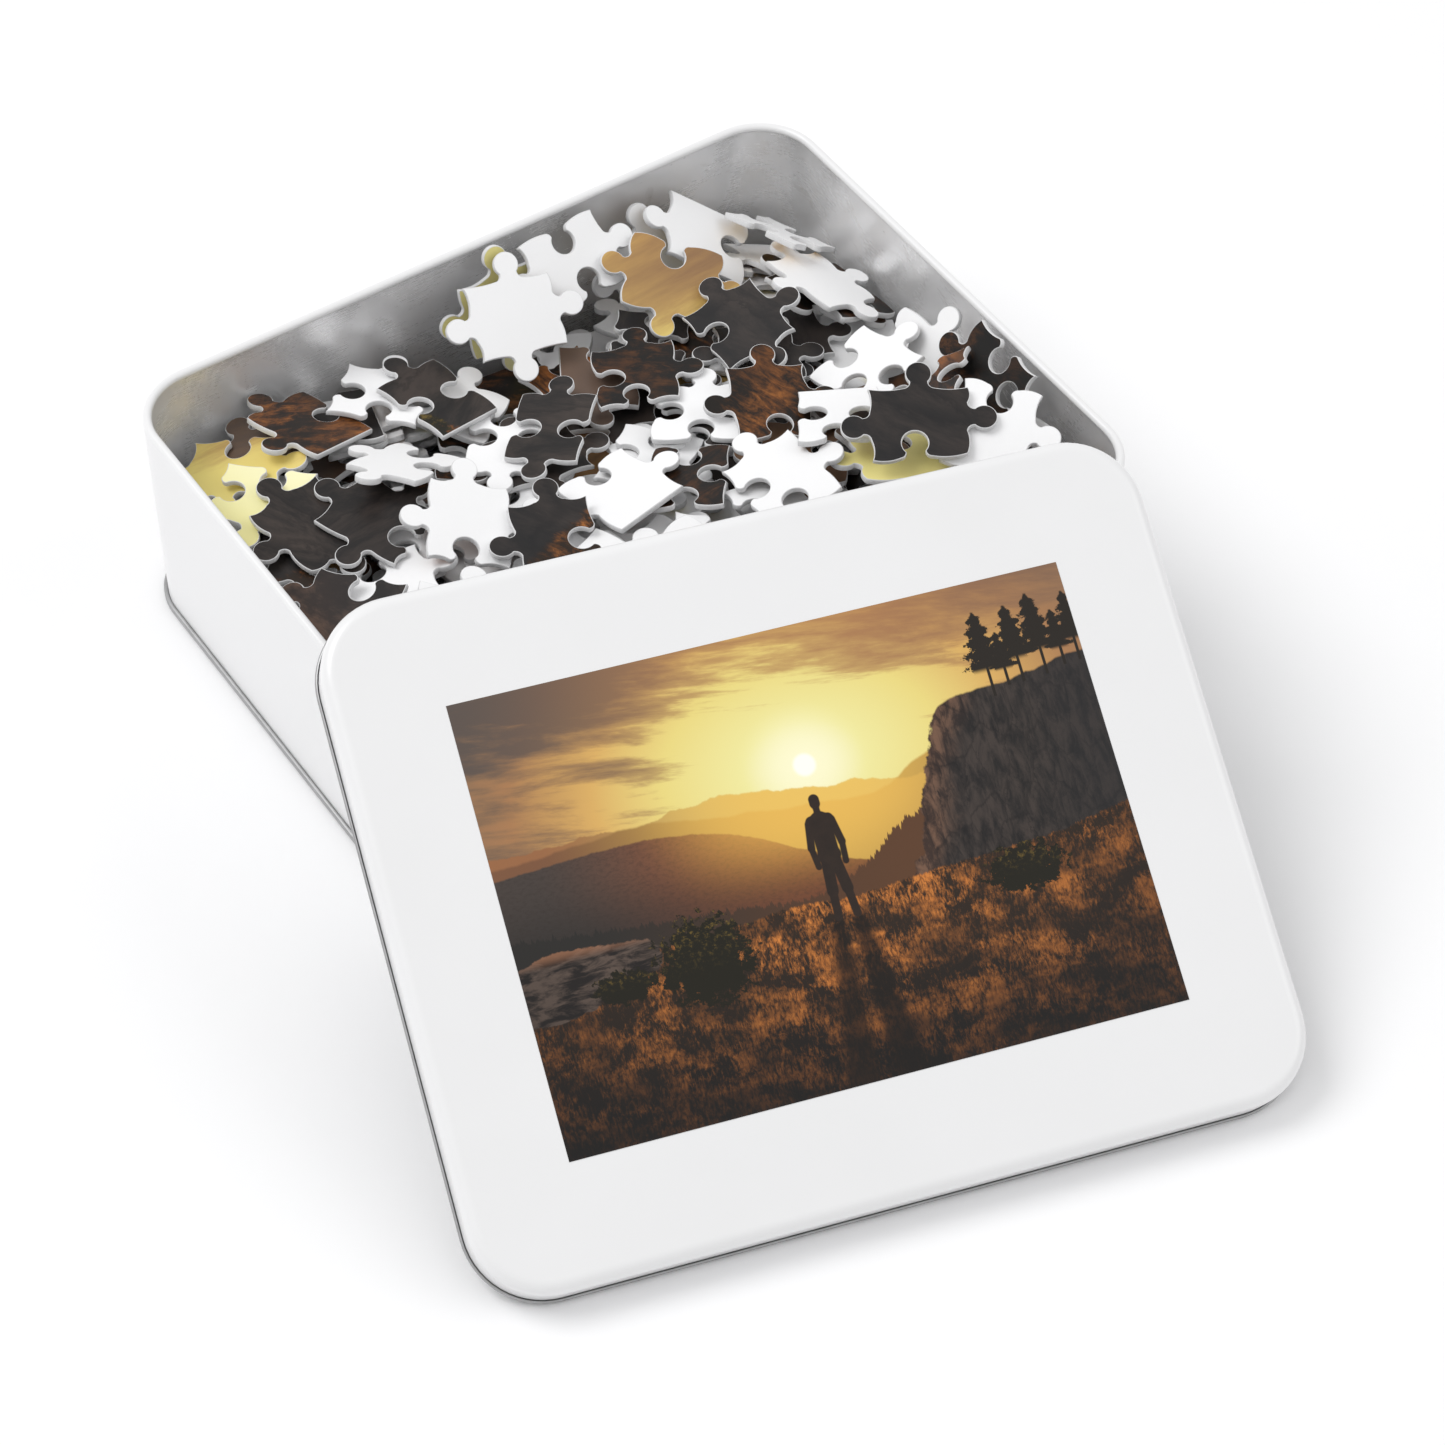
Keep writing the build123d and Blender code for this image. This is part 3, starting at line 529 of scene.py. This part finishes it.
def lid_axes():
    """Unit vectors along the leaning lid's length, along its width, and square out of its face."""
    across = Vector((math.cos(LID_HEADING), math.sin(LID_HEADING), 0))
    up = Vector((math.sin(LID_HEADING) * math.sin(LID_TILT),
                 -math.cos(LID_HEADING) * math.sin(LID_TILT), math.cos(LID_TILT)))
    return across, up.cross(across), up


def dress_tin(white, metal, edge):
    """White outside and round the mouth, bare inside, with a bare rolled bottom."""
    _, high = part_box("tin_wall")

    def wall_side(centre, normal):
        outside = normal.x * centre.x + normal.y * centre.y > 0
        return LACQUERED if outside or centre.z > high.z - RIM_BAND else BARE

    finish_faces("tin_wall", [white, metal], wall_side)
    finish_faces("tin_bottom", [edge], lambda centre, normal: 0)    # its only material


def dress_lid(white, metal, edge):
    """White outside, bare inside and at the hem."""
    _, _, up = lid_axes()
    label_low, label_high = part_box("lid_label")
    panel = (label_low + label_high) / 2
    depth = max((panel - vertex.co).dot(up) for vertex in frame["nodes"]["lid_shell"].data.vertices)
    inside = panel - up * depth

    def shell_side(centre, normal):
        if (centre - inside).dot(up) < HEM_BAND:
            return ROLLED_EDGE
        return LACQUERED if normal.dot(centre - inside) > 0 else BARE

    finish_faces("lid_shell", [white, metal, edge], shell_side)


# ---------------------------------------------------------------- meshes in place of CAD nodes
def joined_faces(node, merge, angle):
    """A CAD node's mesh with doubled points merged and its triangles joined to whole faces."""
    grid = bmesh.new()
    grid.from_mesh(frame["nodes"][node].data)
    bmesh.ops.remove_doubles(grid, verts=grid.verts, dist=merge)
    bmesh.ops.dissolve_limit(grid, angle_limit=angle, verts=grid.verts, edges=grid.edges)
    return grid


def body_of_node(node):
    """The name of the body that the record puts a node on."""
    for body, members in frame["record"]["behaviour"]["bodies"].items():
        if node in members:
            return body
    raise ValueError(node)


def add_piece(name, grid, materials, body, node):
    """Put a mesh in the scene as a piece that rides a body in place of a CAD node."""
    mesh = bpy.data.meshes.new(name)
    grid.to_mesh(mesh)
    grid.free()
    for made in materials:
        mesh.materials.append(made)
    piece = bpy.data.objects.new(name, mesh)
    bpy.context.collection.objects.link(piece)
    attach(piece, body)
    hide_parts(node)


# ---------------------------------------------------------------- printed label
LABEL_BEVEL = 0.06 * MM
LABEL_MERGE = 0.001 * MM
LABEL_ANGLE = math.radians(1)
LEVEL = 0.9                     # cosine to the label's normal from which a face counts as level
PRINT_SIDE, CUT_SIDE = 0, 1     # places in the label's list of materials


def make_label(picture_material, edge):
    """The label as a thin panel with softened edges, carrying the whole picture."""
    across, along, up = lid_axes()
    points = [vertex.co for vertex in frame["nodes"]["lid_label"].data.vertices]
    spans = [(min(point.dot(axis) for point in points), max(point.dot(axis) for point in points))
             for axis in (across, along)]
    grid = joined_faces("lid_label", LABEL_MERGE, LABEL_ANGLE)

    def on_top_rim(line):
        facings = [face.normal.dot(up) for face in line.link_faces]
        return (sum(facing > LEVEL for facing in facings) == 1
                and not all(abs(facing) > LEVEL for facing in facings))

    rim = [line for line in grid.edges if on_top_rim(line)]
    bmesh.ops.bevel(grid, geom=rim, offset=LABEL_BEVEL, segments=2, profile=0.5, affect="EDGES")
    layer = grid.verts.layers.float_vector.new("picture")
    for vertex in grid.verts:
        u, v = [(vertex.co.dot(axis) - low) / (high - low)
                for axis, (low, high) in zip((across, along), spans)]
        vertex[layer] = (u, v, 0)
    for face in grid.faces:
        face.material_index = PRINT_SIDE if face.normal.dot(up) > 0.5 else CUT_SIDE
    add_piece("lid_label_print", grid, [picture_material, edge], "lid", "lid_label")


# ---------------------------------------------------------------- puzzle pieces
# Where on the picture the printed pieces come from: left, right, bottom, top.
REGIONS = {"back": (0.1, 0.9, 0.1, 0.9), "land": (0.06, 0.95, 0.02, 0.20),
           "sky": (0.02, 0.35, 0.84, 0.97), "glow": (0.4, 0.62, 0.74, 0.82)}
CLIFF = (0.76, 0.95, 0.44, 0.7)
CLIFF_SHARE = 0.4               # of the pieces with land on them, these show the cliff
CARD_NODES = ("heap_", "top_", "leaning_", "loose_")
BURIED_LAYERS = 4               # the lowest layers of the heap, which can't be seen
CAP_AREA = 1.2e-4               # square metres: only a piece's two flat faces are larger
CARD_BEVEL = 0.22 * MM          # the soft edge that the die leaves on the card
CARD_MERGE = 0.002 * MM
CARD_ANGLE = math.radians(0.5)
BACK_FACE, PRINT_FACE, CUT_FACE = 0, 1, 2   # places in a piece's list of materials


def islands(grid):
    """The separate pieces of a mesh, each as a list of its faces, in the same order each run."""
    left = dict.fromkeys(grid.faces)
    found = []
    while left:
        stack = [left.popitem()[0]]
        group = []
        while stack:
            face = stack.pop()
            group.append(face)
            for edge in face.edges:
                for near in edge.link_faces:
                    if near in left:
                        del left[near]
                        stack.append(near)
        found.append(group)
    return found


def group_centre(group):
    """The mean of the corners of a group of faces."""
    corners = [vertex.co for face in group for vertex in face.verts]
    return sum(corners, Vector()) / len(corners)


def place_on_picture(group, look, layer, draw):
    """Give a piece's points their places on the picture, turned as the piece lies."""
    cap = max(group, key=lambda face: face.calc_area())
    normal = cap.normal.copy()
    centre = cap.calc_center_median()
    along = max(cap.edges, key=lambda edge: edge.calc_length())
    axis = (along.verts[1].co - along.verts[0].co).normalized()
    aside = normal.cross(axis)
    on_cliff = look == "land" and draw.random() < CLIFF_SHARE
    low_u, high_u, low_v, high_v = CLIFF if on_cliff else REGIONS[look]
    place_u, place_v = draw.uniform(low_u, high_u), draw.uniform(low_v, high_v)
    turn = draw.uniform(0, 2 * math.pi)
    cos, sin = math.cos(turn), math.sin(turn)
    axis, aside = axis * cos + aside * sin, aside * cos - axis * sin
    for vertex in {vertex for face in group for vertex in face.verts}:
        offset = vertex.co - centre
        vertex[layer] = (place_u + offset.dot(axis) / PUZZLE_WIDTH,
                         place_v + offset.dot(aside) / PUZZLE_WIDTH * PICTURE_ASPECT, 0)


def make_pieces(node, materials):
    """Finished puzzle pieces in place of a node's plain card: soft die-cut edges, a printed face, a
    white back and a fibre edge."""
    look = node.rsplit("_", 1)[1]
    grid = joined_faces(node, CARD_MERGE, CARD_ANGLE)
    for face in grid.faces:
        face.material_index = CUT_FACE
        face.smooth = True
        if face.calc_area() > CAP_AREA:
            print_up = look != "back"
            face.material_index = PRINT_FACE if (face.normal.z > 0) == print_up else BACK_FACE
            face.smooth = False
    rims = [edge for edge in grid.edges
            if {face.material_index == CUT_FACE for face in edge.link_faces} == {True, False}]
    bmesh.ops.bevel(grid, geom=rims, offset=CARD_BEVEL, segments=2, profile=0.5, affect="EDGES",
                    material=CUT_FACE, clamp_overlap=True)
    layer = grid.verts.layers.float_vector.new("picture")
    draw = random.Random(node)
    groups = islands(grid)
    groups.sort(key=lambda group: tuple(round(value, 4) for value in group_centre(group)))
    for group in groups:
        place_on_picture(group, look, layer, draw)
    add_piece(node + "_cards", grid, materials, body_of_node(node), node)


# ---------------------------------------------------------------- stage
FLOOR_REACH = 4.0               # metres from its middle to each side
FLOOR_DROP = 0.2 * MM           # keeps the floor clear of what stands on it
SKY_STRENGTH = 0.70
# Lamps: place, size in metres and power in watts.
LAMPS = {"key": ((-1.1, 0.9, 2.2), 1.6, 29.5), "fill": ((1.6, -1.4, 1.8), 1.8, 10)}
CAMERA_TARGET = Vector((-3.4, -43.6, 0)) * MM
CAMERA_AZIMUTH = math.radians(-34.1)
CAMERA_ELEVATION = math.radians(49.14)
CAMERA_ROLL = math.radians(0.18)
CAMERA_DISTANCE = 940.8 * MM
CAMERA_LENS = 97.4              # millimetres
CAMERA_SENSOR = 36              # millimetres
CAMERA_CLIP = (0.01, 20)        # metres


def make_floor(made):
    """A white sheet that runs out past everything the camera sees."""
    grid = bmesh.new()
    bmesh.ops.create_grid(grid, x_segments=8, y_segments=8, size=FLOOR_REACH)
    mesh = bpy.data.meshes.new("floor")
    grid.to_mesh(mesh)
    grid.free()
    mesh.materials.append(made)
    floor = bpy.data.objects.new("floor", mesh)
    floor.location.z = -FLOOR_DROP
    bpy.context.collection.objects.link(floor)


def add_lamp(name, place, size, power):
    """A round soft lamp that points at the tin."""
    lamp = bpy.data.lights.new(name, "AREA")
    lamp.shape = "DISK"
    lamp.size = size
    lamp.energy = power
    light = bpy.data.objects.new(name, lamp)
    light.location = place
    light.rotation_euler = (-Vector(place)).to_track_quat("-Z", "Y").to_euler()
    bpy.context.collection.objects.link(light)


def make_light():
    """Even white surroundings and two soft lamps."""
    world = bpy.data.worlds.new("studio")
    world.use_nodes = True
    surroundings = world.node_tree.nodes["Background"].inputs
    surroundings["Color"].default_value = (1, 1, 1, 1)
    surroundings["Strength"].default_value = SKY_STRENGTH
    bpy.context.scene.world = world
    for name, (place, size, power) in LAMPS.items():
        add_lamp(name, place, size, power)
    bpy.context.scene.view_settings.view_transform = "Standard"


def make_camera():
    """The photo's camera, aimed at CAMERA_TARGET and turned a little about its own axis."""
    back = Vector((math.sin(CAMERA_AZIMUTH) * math.cos(CAMERA_ELEVATION),
                   -math.cos(CAMERA_AZIMUTH) * math.cos(CAMERA_ELEVATION),
                   math.sin(CAMERA_ELEVATION)))
    right = Vector((math.cos(CAMERA_AZIMUTH), math.sin(CAMERA_AZIMUTH), 0))
    up = back.cross(right)
    rolled_right = right * math.cos(CAMERA_ROLL) + up * math.sin(CAMERA_ROLL)
    rolled_up = up * math.cos(CAMERA_ROLL) - right * math.sin(CAMERA_ROLL)
    data = bpy.data.cameras.new("camera")
    data.lens = CAMERA_LENS
    data.sensor_width = CAMERA_SENSOR
    data.clip_start, data.clip_end = CAMERA_CLIP
    camera = bpy.data.objects.new("camera", data)
    turn = Matrix((rolled_right, rolled_up, back)).transposed().to_4x4()
    camera.matrix_world = Matrix.Translation(CAMERA_TARGET + back * CAMERA_DISTANCE) @ turn
    bpy.context.collection.objects.link(camera)
    bpy.context.scene.camera = camera


# ---------------------------------------------------------------- the object
make_camera()
make_light()
make_floor(material("floor_sheet", floor_sheet))
white = material("white_lacquer", lacquer)
metal = material("tinplate", tinplate)
edge_metal = material("bare_edge", bare_edge)
back_card = material("board_back", board_back)
edge_card = material("board_edge", board_edge)
print_card = material("picture_print", printed(picture_group()))

dress_tin(white, metal, edge_metal)
dress_lid(white, metal, edge_metal)
make_label(print_card, edge_card)
buried_land = material("buried_land", buried_print(srgb(34, 30, 28), srgb(104, 66, 42)))
buried_sky = material("buried_sky", buried_print(srgb(150, 106, 72), srgb(222, 186, 110)))
for node_name in sorted(frame["nodes"]):
    if node_name.startswith(CARD_NODES):
        print_side = print_card
        if node_name.startswith("heap_") and int(node_name.split("_")[2]) <= BURIED_LAYERS:
            print_side = buried_sky if node_name.endswith("sky") else buried_land
        make_pieces(node_name, [back_card, print_side, edge_card])
